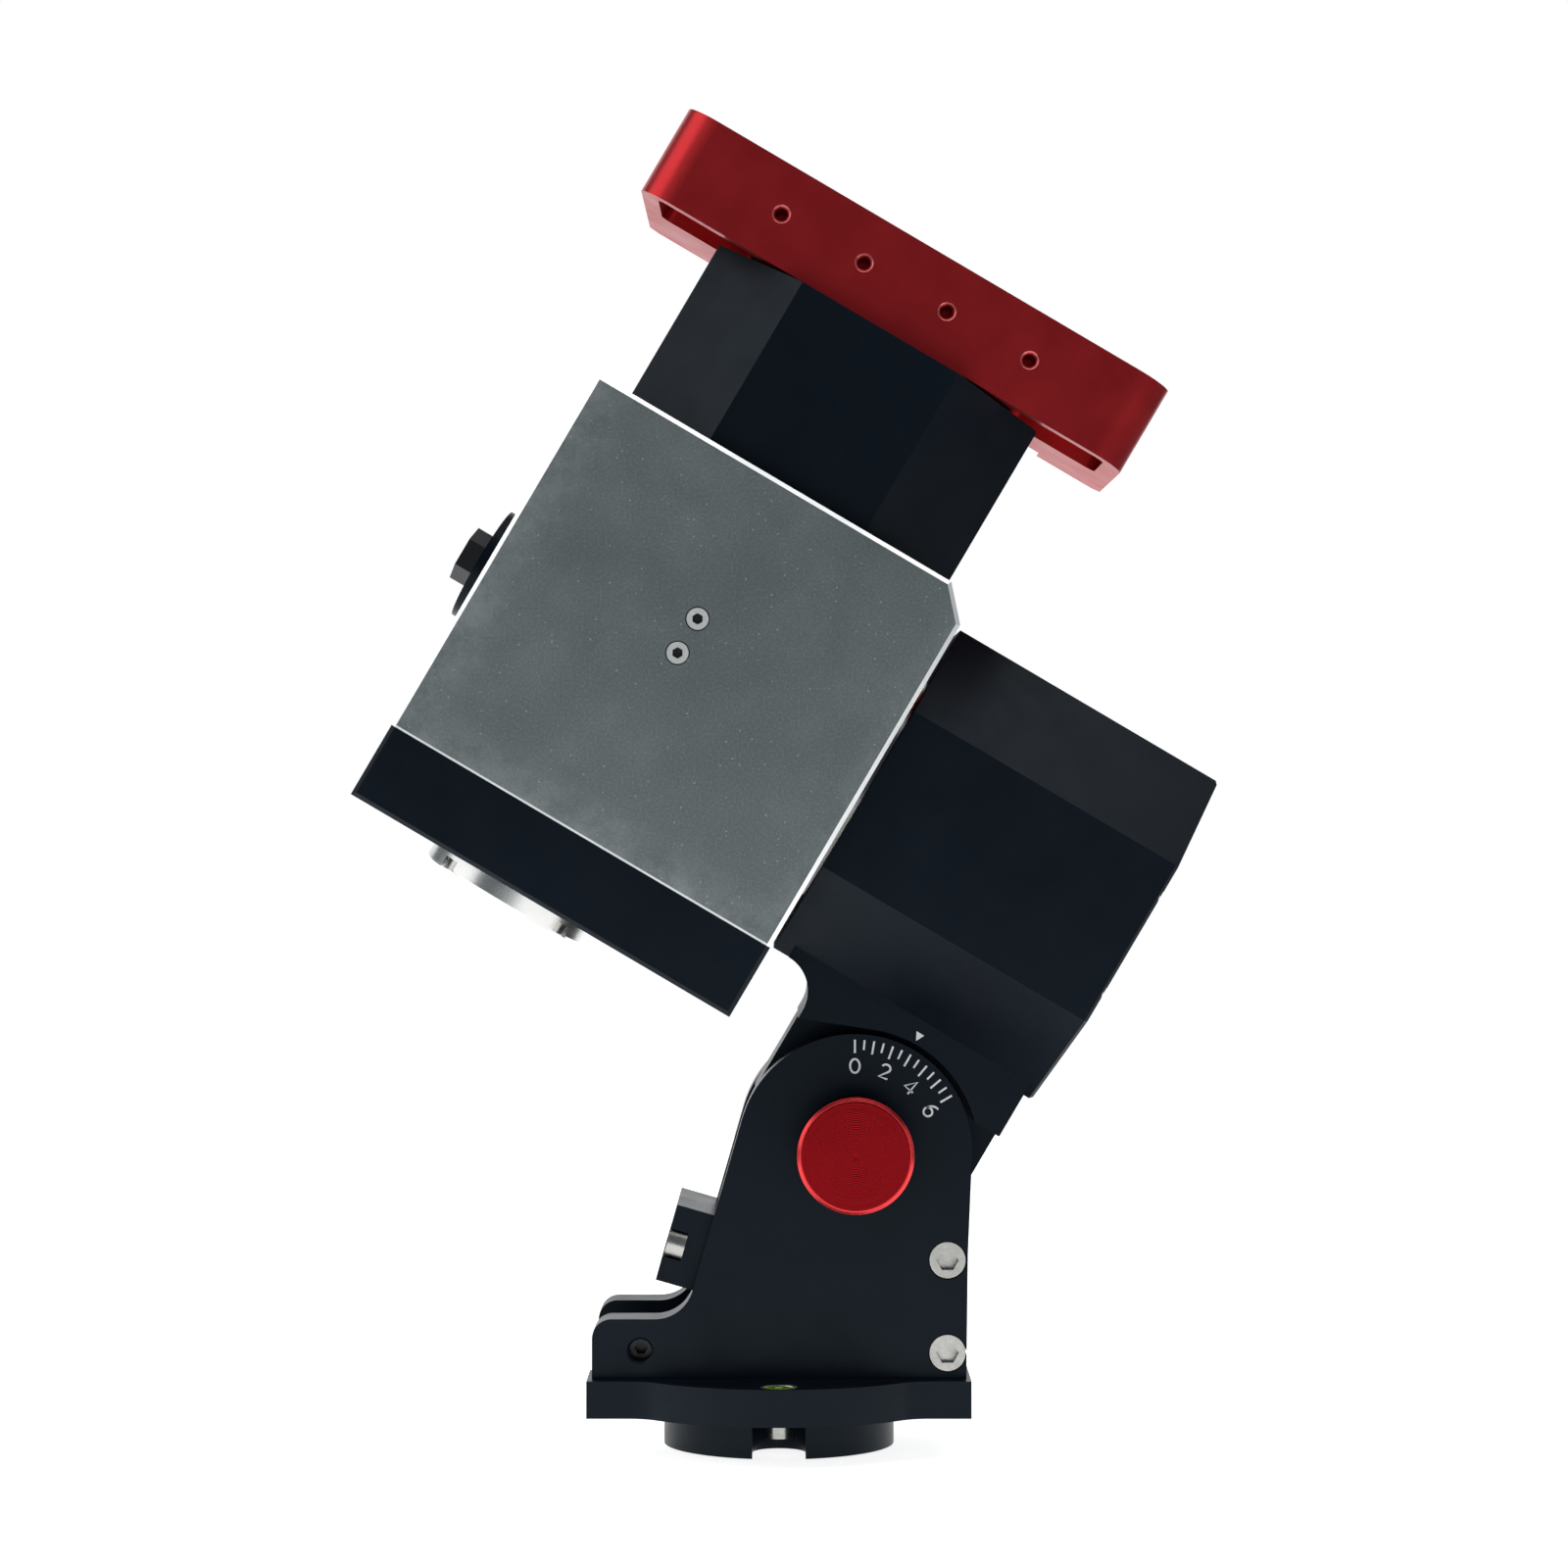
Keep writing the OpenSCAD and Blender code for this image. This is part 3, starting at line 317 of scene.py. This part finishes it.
knob_centre = middle("altitude_lock_knob")
MATS = {
    "black_anodised": satin("black_anodised", BLACK, 0.34, 0.0, 0.14),
    "red_anodised": satin("red_anodised", RED, 0.35, 0.86, 0.5, vary=0.07, bump=0.08),
    "red_knob": turned("red_knob", (0.25, 0.007, 0.010), 0.22, 1.0, knob_centre, 0.00042),
    "grey_case": grey_case(),
    "bright_metal": satin("bright_metal", (0.66, 0.66, 0.645), 0.27, 1.0, vary=0.05),
    "screw_steel": satin("screw_steel", STEEL, 0.27, 1.0, vary=0.12, blotch=180),
    "black_steel": satin("black_steel", (0.013, 0.014, 0.016), 0.34, 0.3, 0.5, blotch=120),
    "machined_steel": satin("machined_steel", (0.50, 0.50, 0.51), 0.30, 1.0, vary=0.1),
    "motor_case": satin("motor_case", (0.03, 0.03, 0.034), 0.42, 0.5),
    "bush_brass": satin("bush_brass", (0.62, 0.42, 0.14), 0.32, 1.0, vary=0.12),
    "cam_alloy": satin("cam_alloy", (0.66, 0.66, 0.68), 0.34, 1.0, vary=0.1),
    "level_fluid": level_fluid(),
    "circuit_board": circuit_board(),
    "socket_plastic": satin("socket_plastic", (0.012, 0.012, 0.013), 0.48, 0.0, 0.5, grain=1800, bump=0.12),
    "socket_shell": satin("socket_shell", (0.70, 0.69, 0.66), 0.3, 1.0, vary=0.1),
}
MATS["black_anodised"].put("Specular Tint", (0.74, 0.90, 1.0, 1))
# lighter copies of the finishes for the bevels: partly bare edge metal, partly a painted edge highlight
EDGE_FINISH_AND_HIGHLIGHT = {
    "black_anodised": satin("black_edge", (0.16, 0.17, 0.19), 0.26, 0.85, 0.5, blotch=90, vary=0.2),
    "red_anodised": satin("red_edge", (0.62, 0.10, 0.11), 0.24, 1.0, 0.5, blotch=90, vary=0.12),
    "black_steel": satin("black_steel_edge", (0.05, 0.05, 0.055), 0.3, 0.6, blotch=160, vary=0.3),
    "screw_steel": satin("screw_edge", (0.80, 0.79, 0.77), 0.18, 1.0, blotch=200, vary=0.08),
    "bright_metal": satin("bright_edge", (0.88, 0.88, 0.87), 0.22, 1.0, blotch=200, vary=0.05),
}
WHITE_PAINT = printed("scale_paint", (0.80, 0.81, 0.82)).mat
DARK_PAINT = printed("level_ring_paint", (0.01, 0.012, 0.01)).mat

# width in millimetres of the broken edge that each visible CAD node gets
BEVELS = {
    "azimuth_base": 0.8, "fork_plate_near": 0.5, "fork_plate_far": 0.5, "front_cross_block": 0.5,
    "rear_cross_block": 0.5, "tilt_bracket": 0.35, "ra_housing": 0.3, "dec_head_housing": 0.3,
    "saddle_body": 0.35, "saddle_jaw": 0.3, "dec_bottom_cap": 0.35, "dec_body": 0.25,
    "base_screws": 0.25, "fork_plate_screws": 0.35, "front_block_screws": 0.3,
    "side_bolt": 0.3, "board_bracket": 0.3, "data_socket": 0.25, "azimuth_screw_near": 0.25,
    "azimuth_screw_far": 0.25, "altitude_screw_front": 0.25, "altitude_screw_rear": 0.25,
    "board_screws": 0.2, "counterweight_screws": 0.2, "counterweight_socket": 0.2,
    "motor": 0.3,
}


def break_edges(obj, width, edge_mat):
    """Merge flat facets, then bevel the sharp edges, with a lighter edge material on the bevels that is partly
    bare metal and partly a painted edge highlight.
    """
    flat = obj.modifiers.new("flat", "DECIMATE")
    flat.decimate_type = "DISSOLVE"
    flat.angle_limit = math.radians(0.4)
    flat.delimit = {"SHARP", "MATERIAL"}
    bevel = obj.modifiers.new("edge", "BEVEL")
    bevel.width = width * MM
    bevel.segments = 2
    bevel.limit_method = "ANGLE"
    bevel.angle_limit = math.radians(50)
    bevel.miter_outer = "MITER_ARC"
    bevel.use_clamp_overlap = True
    if edge_mat is not None:
        obj.data.materials.append(edge_mat)
        bevel.material = len(obj.material_slots) - 1


def board_heads_with_painted_socket_shade():
    """Polished heads of the board screws, with painted shade inside their sockets: darker below the top of the
    head.
    """
    m = satin("polished_head", (0.80, 0.80, 0.78), 0.24, 0.5, 0.5, blotch=160, vary=0.04)
    top = box("board_screws")[0].y
    place = m.add("ShaderNodeSeparateXYZ")
    m.link(m.coords.outputs["Object"], place.inputs["Vector"])
    # painted shade: the head darkens below its top, inside the hex socket
    depth = m.spread(place.outputs["Y"], 0.0, 1.0, top + 0.25 * MM, top + 0.6 * MM)
    polished = m.bsdf.inputs["Base Color"].links[0].from_socket
    m.set("Base Color", m.mix(polished, (0.045, 0.044, 0.040), depth))
    return m


small_head = board_heads_with_painted_socket_shade()
for name, obj in frame["nodes"].items():
    slot = obj.material_slots[0].material.name.split(".")[0]
    obj.material_slots[0].material = small_head.mat if name == "board_screws" else MATS[slot].mat
    if name in BEVELS:
        edge = EDGE_FINISH_AND_HIGHLIGHT.get(slot)
        break_edges(obj, BEVELS[name], edge.mat if edge else None)


# ---------------------------------------------------------------- mesh helpers
def mesh_object(name, verts, faces, mat, smooth=True, sharp=35):
    mesh = bpy.data.meshes.new(name)
    mesh.from_pydata([tuple(v) for v in verts], [], faces)
    mesh.validate()
    mesh.update()
    mesh.materials.append(mat)
    obj = bpy.data.objects.new(name, mesh)
    scene.collection.objects.link(obj)
    if smooth:
        mesh.shade_smooth()
        mesh.set_sharp_from_angle(angle=math.radians(sharp))
    return obj


def lathe(name, profile, origin, axis, mat, count=144, flute=None):
    """Solid of revolution. profile is (radius, height) in mm; flute(radius, height, turn) adjusts it."""
    axis = Vector(axis).normalized()
    side = axis.orthogonal().normalized()
    third = axis.cross(side)
    verts, faces, rings = [], [], []
    for r, h in profile:
        if r == 0:
            rings.append([len(verts)])
            verts.append(origin + axis * h * MM)
            continue
        ring = []
        for i in range(count):
            a = 2 * math.pi * i / count
            rr = flute(r, h, i / count) if flute else r
            ring.append(len(verts))
            verts.append(origin + (side * math.cos(a) + third * math.sin(a)) * rr * MM + axis * h * MM)
        rings.append(ring)
    for lower, upper in zip(rings, rings[1:]):
        for i in range(count):
            j = (i + 1) % count
            if len(lower) == 1:
                faces.append((lower[0], upper[j], upper[i]))
            elif len(upper) == 1:
                faces.append((lower[i], lower[j], upper[0]))
            else:
                faces.append((lower[i], lower[j], upper[j], upper[i]))
    return mesh_object(name, verts, faces, mat)


def slab_on(polygons, place, thick):
    """Thin raised shapes. polygons are lists of 2-D points in mm, place(x, y, h) gives the point."""
    verts, faces = [], []
    for points in polygons:
        n, at = len(points), len(verts)
        verts += [place(x, y, -0.02) for x, y in points] + [place(x, y, thick) for x, y in points]
        faces.append(tuple(range(at + n, at + 2 * n)))
        faces.append(tuple(reversed(range(at, at + n))))
        faces += [(at + i, at + (i + 1) % n, at + n + (i + 1) % n, at + n + i) for i in range(n)]
    return verts, faces


def ribbon(points, width, closed=False):
    """Quads of the given width along a polyline, as a list of 4-point polygons."""
    out, n = [], len(points)
    normals = []
    for i in range(n):
        a = Vector(points[i - 1] if (i or closed) else points[i])
        b = Vector(points[(i + 1) % n] if (i < n - 1 or closed) else points[i])
        d = (b - a).normalized()
        normals.append(Vector((-d.y, d.x)) * width / 2)
    for i in range(n if closed else n - 1):
        j = (i + 1) % n
        p, q = Vector(points[i]), Vector(points[j])
        out.append([tuple(p + normals[i]), tuple(p - normals[i]), tuple(q - normals[j]), tuple(q + normals[j])])
    return out


def arc(cx, cy, rx, ry, start, end, steps=20):
    return [(cx + rx * math.cos(math.radians(start + (end - start) * i / steps)),
             cy + ry * math.sin(math.radians(start + (end - start) * i / steps))) for i in range(steps + 1)]


# ---------------------------------------------------------------- latitude scale on the near fork plate
near_y = box("fork_plate_near")[0].y
STROKE = 0.52                       # width of the digits' lines
DIGIT_RADIUS = 21.9                 # from the pivot to a digit's middle
PAINT = 0.03                        # how far the filled engraving stands out
TICK_PITCH = 5                      # degrees from one tick to the next
TICK_W, TICK_OUT, TICK_LONG, TICK_SHORT = 0.5, 28.6, 25.2, 26.1
DIGITS = {
    "0": [(arc(0, 0, 1.22, 1.75, 0, 360, 32)[:-1], True)],
    "2": [(arc(0, 0.8, 1.12, 1.0, 165, -38, 16) + [(-1.15, -1.72), (1.25, -1.72)], False)],
    "4": [([(0.62, -1.95), (0.62, 1.95), (-1.35, -0.85), (1.45, -0.85)], False)],
    "6": [(arc(0, -0.66, 1.15, 1.12, 0, 360, 28)[:-1], True),
          (arc(0.95, -0.45, 2.06, 2.4, 180, 96, 10), False)],
}


def on_fork(x, z, h):
    return Vector((PIVOT.x + x * MM, near_y - h * MM, PIVOT.z + z * MM))


def turned_point(x, z, degrees):
    """Turn a point clockwise, as seen by the camera, about the pivot."""
    a = math.radians(degrees)
    return (x * math.cos(a) + z * math.sin(a), -x * math.sin(a) + z * math.cos(a))


marks = []
for step in range(13):
    inner = TICK_LONG if step % 2 == 0 else TICK_SHORT
    tick = [(-TICK_W / 2, inner), (TICK_W / 2, inner), (TICK_W / 2, TICK_OUT), (-TICK_W / 2, TICK_OUT)]
    marks.append([turned_point(x, z, TICK_PITCH * step) for x, z in tick])
verts, faces = slab_on(marks, on_fork, PAINT)
ticks = mesh_object("latitude_ticks", verts, faces, WHITE_PAINT, smooth=False)
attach(ticks, "base")

strokes = []
for digit, at in (("0", 0.0), ("2", 20.6), ("4", 40.6), ("6", 61.4)):
    for points, closed in DIGITS[digit]:
        for quad in ribbon(points, STROKE, closed):
            strokes.append([turned_point(x, z + DIGIT_RADIUS, at) for x, z in quad])
verts, faces = slab_on(strokes, on_fork, PAINT)
digits = mesh_object("latitude_digits", verts, faces, WHITE_PAINT, smooth=False)
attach(digits, "base")

bracket_y = box("tilt_bracket")[0].y


def on_bracket(x, z, h):
    p = head(x, 0, z)
    return Vector((p.x, bracket_y - h * MM, p.z))


pointer_shape = [(-2.05, 34.5), (-0.9, 32.3), (0.25, 34.5)]
verts, faces = slab_on([pointer_shape], on_bracket, PAINT)
pointer = mesh_object("latitude_pointer", verts, faces, WHITE_PAINT, smooth=False)
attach(pointer, "tilting_head")


# ---------------------------------------------------------------- lock knob, turned with a smooth side and marks on its face
knob_lo, knob_hi = box("altitude_lock_knob")
knob_base = Vector((knob_centre.x, knob_hi.y, knob_centre.z))
knob_r = (knob_hi.x - knob_lo.x) / 2 / MM
knob_h = (knob_hi.y - knob_lo.y) / MM


def knurl(low, high, depth, ridges):
    def flute(r, h, turn):
        if low < h < high:
            return r - depth * (0.5 - 0.5 * math.cos(2 * math.pi * ridges * turn))
        return r
    return flute


knob_profile = [(5.1, 0.0), (13.0, 0.0), (13.9, 0.9), (13.9, 2.6), (knob_r - 0.2, 3.2), (knob_r, 3.5),
                (knob_r, knob_h - 1.0), (knob_r - 0.08, knob_h - 0.75), (knob_r - 0.75, knob_h - 0.08),
                (knob_r - 1.0, knob_h)]
FACE_MARKS, MARK_PITCH = 27, 0.47   # shallow turning marks on the face
for i in range(FACE_MARKS):
    r = knob_r - 1.6 - i * MARK_PITCH
    knob_profile += [(r, knob_h - 0.012), (r - MARK_PITCH / 2, knob_h - 0.03)]
knob_profile += [(0.45, knob_h - 0.02), (0.0, knob_h - 0.06)]
knob_mat = MATS["red_knob"]
tangent = knob_mat.add("ShaderNodeTangent", direction_type="RADIAL", axis="Y")
knob_mat.put("Anisotropic", 0.75)
knob_mat.link(tangent.outputs["Tangent"], knob_mat.bsdf.inputs["Tangent"])
knob = lathe("lock_knob_turned", knob_profile, knob_base, (0, -1, 0), knob_mat.mat, 240)
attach(knob, "lock_knob")
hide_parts("altitude_lock_knob")
# painted highlight: a brighter red ring laid just proud over the knob's rim chamfer
knob_rim_highlight_mat = satin("knob_rim", (0.78, 0.045, 0.05), 0.28, 0.8, vary=0.05)
highlight_rim = lathe("lock_knob_rim", [(knob_r - 0.98, knob_h + 0.035), (knob_r - 0.70, knob_h + 0.02),
                              (knob_r + 0.02, knob_h - 0.70), (knob_r + 0.035, knob_h - 0.98),
                              (knob_r - 0.15, knob_h - 0.96), (knob_r - 0.98, knob_h - 0.15),
                              (knob_r - 0.98, knob_h + 0.035)], knob_base, (0, -1, 0), knob_rim_highlight_mat.mat, 240)
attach(highlight_rim, "lock_knob")

# ---------------------------------------------------------------- broken rims of the saddle's side taps, lighter pink as a painted highlight
TAP_PITCH = 24.2
TAP_RIM = [(2.36, 0.012), (2.10, -0.20), (1.98, -0.33), (1.94, -0.42), (2.10, -0.40), (2.42, -0.05),
           (2.36, 0.012)]
row = [m for m in frame["record"]["mounts"] if m["name"] == "saddle_tap_row"][0]
# painted highlight: the chamfer rings get a lighter pink than the saddle
tap_rim_highlight_mat = satin("tap_rim", (0.72, 0.21, 0.21), 0.3, 0.6, vary=0.1)
for i in range(4):
    at = Vector(row["pos_m"]) + HEAD_U * (i - 1.5) * TAP_PITCH * MM
    highlight_rim = lathe("saddle_tap_rim_%d" % (i + 1), TAP_RIM, at, (0, -1, 0), tap_rim_highlight_mat.mat, 72)
    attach(highlight_rim, "dec_rotor")

# ---------------------------------------------------------------- clamp knobs on the saddle's far side
GRIP_LENGTH = 17.8
for side in ("left", "right"):
    node = "clamp_knob_" + side
    lo, hi = box(node)
    centre = (lo + hi) / 2
    r = (hi.x - lo.x) / 2 / MM
    # (radius, height) from the inner end of the grip: blind bore, collar, knurled rim, dished end
    profile = [(0, 14), (3.05, 14), (3.05, 0.3), (3.3, 0), (5, 0), (5, 6), (r - 0.6, 6.6), (r, 7.2), (r, 7.6),
               (r, 7.7), (r, 16.2), (r, 16.3), (r, 16.9), (r - 0.7, 17.7), (r - 1.1, GRIP_LENGTH),
               (r - 1.6, GRIP_LENGTH), (r - 1.8, 17.55), (3.2, 17.5), (2.9, 17.2), (0, 17.1)]
    grip = lathe("clamp_grip_" + side, profile, Vector((centre.x, hi.y - GRIP_LENGTH * MM, centre.z)),
                 (0, 1, 0), MATS["red_anodised"].mat, 180, knurl(7.65, 16.25, 0.45, 36))
    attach(grip, side + "_clamp")
    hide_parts(node)

# ---------------------------------------------------------------- bubble level
cup_lo, cup_hi = box("bubble_level_cup")
fluid_lo, fluid_hi = box("bubble_level_fluid")
level_at = Vector(((cup_lo.x + cup_hi.x) / 2, (cup_lo.y + cup_hi.y) / 2, fluid_hi.z))
ring = lathe("level_ring", [(1.75, -0.12), (1.95, -0.12), (1.95, 0.02), (1.75, 0.03), (1.75, -0.12)],
             level_at, (0, 0, 1), DARK_PAINT, 72)
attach(ring, "base")
bubble_mat = Nodes("level_bubble", (0.75, 0.95, 0.45), 0.05)
bubble_mat.put("Coat Weight", 1.0)
bubble_tint = bubble_mat.ramp(bubble_mat.noise(900), [(0.3, (0.6, 0.9, 0.3)), (0.7, (0.85, 1, 0.6))])
bubble_mat.set("Base Color", bubble_tint)
bubble = lathe("level_bubble", [(0, -0.5), (0.9, -0.4), (1.3, -0.15), (1.2, -0.04), (0.7, 0.04), (0, 0.06)],
               level_at, (0, 0, 1), bubble_mat.mat, 48)
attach(bubble, "base")


# ---------------------------------------------------------------- floor, light and camera
def stage_material(name, color, rough):
    m = Nodes(name, color, rough)
    m.put("Emission Color", (1, 1, 1, 1))
    m.put("Emission Strength", 0.86)
    m.set("Roughness", m.spread(m.noise(6, 2.0), rough - 0.05, rough + 0.05))
    return m.mat


floor_wide, floor_deep, floor_z = 0.42, 0.95, -0.0006
floor = mesh_object("floor", [(-floor_wide, -floor_deep, floor_z), (floor_wide, -floor_deep, floor_z),
                              (floor_wide, floor_deep, floor_z), (-floor_wide, floor_deep, floor_z)],
                    [(0, 1, 2, 3)], stage_material("floor_white", (0.92, 0.92, 0.92), 0.7), smooth=False)

world = bpy.data.worlds.new("studio")
scene.world = world
world.use_nodes = True
tree = world.node_tree
tree.nodes.clear()
out = tree.nodes.new("ShaderNodeOutputWorld")
lit = tree.nodes.new("ShaderNodeBackground")
seen = tree.nodes.new("ShaderNodeBackground")
pick = tree.nodes.new("ShaderNodeMixShader")
path = tree.nodes.new("ShaderNodeLightPath")
lit.inputs["Color"].default_value = (0.80, 0.91, 1.0, 1)
lit.inputs["Strength"].default_value = 0.17
seen.inputs["Color"].default_value = (1, 1, 1, 1)
seen.inputs["Strength"].default_value = 1.0
tree.links.new(path.outputs["Is Camera Ray"], pick.inputs["Fac"])
tree.links.new(lit.outputs["Background"], pick.inputs[1])
tree.links.new(seen.outputs["Background"], pick.inputs[2])
tree.links.new(pick.outputs["Shader"], out.inputs["Surface"])


def softbox(name, place, target, size, radiance):
    lamp = bpy.data.lights.new(name, "AREA")
    lamp.shape = "RECTANGLE"
    lamp.size, lamp.size_y = size
    lamp.energy = radiance * math.pi * size[0] * size[1]
    obj = bpy.data.objects.new(name, lamp)
    scene.collection.objects.link(obj)
    obj.location = place
    obj.rotation_euler = (Vector(target) - Vector(place)).to_track_quat("-Z", "Y").to_euler()


lo, hi = (Vector(c) for c in cad_bounds)
aim = (lo + hi) / 2
softbox("top_box", (aim.x + 0.05, aim.y - 0.15, 1.35), aim, (1.8, 1.2), 1.6)
softbox("left_box", (aim.x - 0.85, aim.y - 0.30, 0.60), aim, (0.9, 1.0), 1.45)
softbox("right_box", (aim.x + 1.25, aim.y + 0.2, 0.5), aim, (0.7, 0.9), 0.45)
softbox("back_box", (aim.x, aim.y + 1.5, 0.62), aim, (2.6, 1.4), 0.95)
softbox("front_box", (aim.x - 0.7, aim.y - 1.9, 1.3), aim, (0.8, 0.8), 0.58)

camera_data = bpy.data.cameras.new("photo_camera")
camera_data.sensor_width = 36
camera_data.lens = 95.56
camera = bpy.data.objects.new("photo_camera", camera_data)
camera.location = (0.0013, -1.089, 0.1719)
camera.rotation_euler = (math.radians(90), 0, 0)
scene.collection.objects.link(camera)
scene.camera = camera
